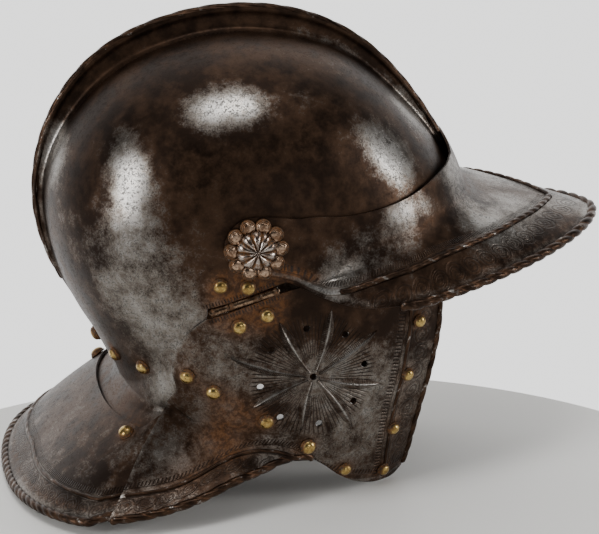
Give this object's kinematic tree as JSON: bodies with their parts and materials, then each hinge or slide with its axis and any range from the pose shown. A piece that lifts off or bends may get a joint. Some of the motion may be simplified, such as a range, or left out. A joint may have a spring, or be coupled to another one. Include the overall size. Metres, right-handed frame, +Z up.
{
  "type": "burgonet helmet",
  "caption": "Open steel helmet with a low comb, a pivoting roped peak, a flared neck plate and hinged cheekpieces pierced with a star.",
  "frame": {"origin": "middle of the bounding box at its base, on the surface the helmet stands on", "axes": "+X the wearer's front (the peak), +Y the wearer's left, +Z up"},
  "size_m": [0.337, 0.2156, 0.2625],
  "materials": {
    "dark_steel": "patinated, worn bright in patches",
    "worn_steel": "worn grey, lightly pitted",
    "bronze": "brown patina, bright on the crests",
    "brass": "aged, domed caps"
  },
  "bodies": {
    "skull": {"skull": "dark_steel", "neck_plate": "dark_steel", "hinge_leaf_skull_right": "dark_steel", "hinge_pin_right": "worn_steel", "rivet_nape_inner_right": "brass", "rivet_nape_outer_right": "brass", "rivet_hinge_1_right": "brass", "rivet_hinge_2_right": "brass", "rivet_neck_right": "brass", "rosette_washer_right": "bronze", "rosette_boss_right": "bronze", "hinge_leaf_skull_left": "dark_steel", "hinge_pin_left": "worn_steel", "rivet_nape_inner_left": "brass", "rivet_nape_outer_left": "brass", "rivet_hinge_1_left": "brass", "rivet_hinge_2_left": "brass", "rivet_neck_left": "brass", "rosette_washer_left": "bronze", "rosette_boss_left": "bronze", "rivet_nape_middle": "brass"},
    "peak": {"peak": "dark_steel"},
    "cheekpiece_right": {"cheekpiece_right": "worn_steel", "hinge_leaf_cheek_right": "dark_steel", "rivet_cheek_1_right": "brass", "rivet_cheek_2_right": "brass", "rivet_cheek_3_right": "brass", "rivet_cheek_4_right": "brass", "rivet_cheek_5_right": "brass", "rivet_cheek_6_right": "brass", "rivet_cheek_7_right": "brass", "rivet_cheek_8_right": "brass", "rivet_cheek_9_right": "brass", "rivet_cheek_10_right": "brass", "rivet_cheek_11_right": "brass"},
    "cheekpiece_left": {"cheekpiece_left": "worn_steel", "hinge_leaf_cheek_left": "dark_steel", "rivet_cheek_1_left": "brass", "rivet_cheek_2_left": "brass", "rivet_cheek_3_left": "brass", "rivet_cheek_4_left": "brass", "rivet_cheek_5_left": "brass", "rivet_cheek_6_left": "brass", "rivet_cheek_7_left": "brass", "rivet_cheek_8_left": "brass", "rivet_cheek_9_left": "brass", "rivet_cheek_10_left": "brass", "rivet_cheek_11_left": "brass"}
  },
  "joints": [
    {"name": "peak_pivot", "type": "hinge", "parent": "skull", "child": "peak", "pos_m": [-0.03667, 0, 0.15351], "axis": [0, -1, 0], "range_deg": [0, 40]},
    {"name": "cheek_hinge_right", "type": "hinge", "parent": "skull", "child": "cheekpiece_right", "pos_m": [-0.04319, -0.09164, 0.12289], "axis": [-0.9499, 0.1001, -0.2962], "range_deg": [0, 28]},
    {"name": "cheek_hinge_left", "type": "hinge", "parent": "skull", "child": "cheekpiece_left", "pos_m": [-0.04319, 0.09164, 0.12289], "axis": [0.9499, 0.1001, 0.2962], "range_deg": [0, 28]}
  ]
}
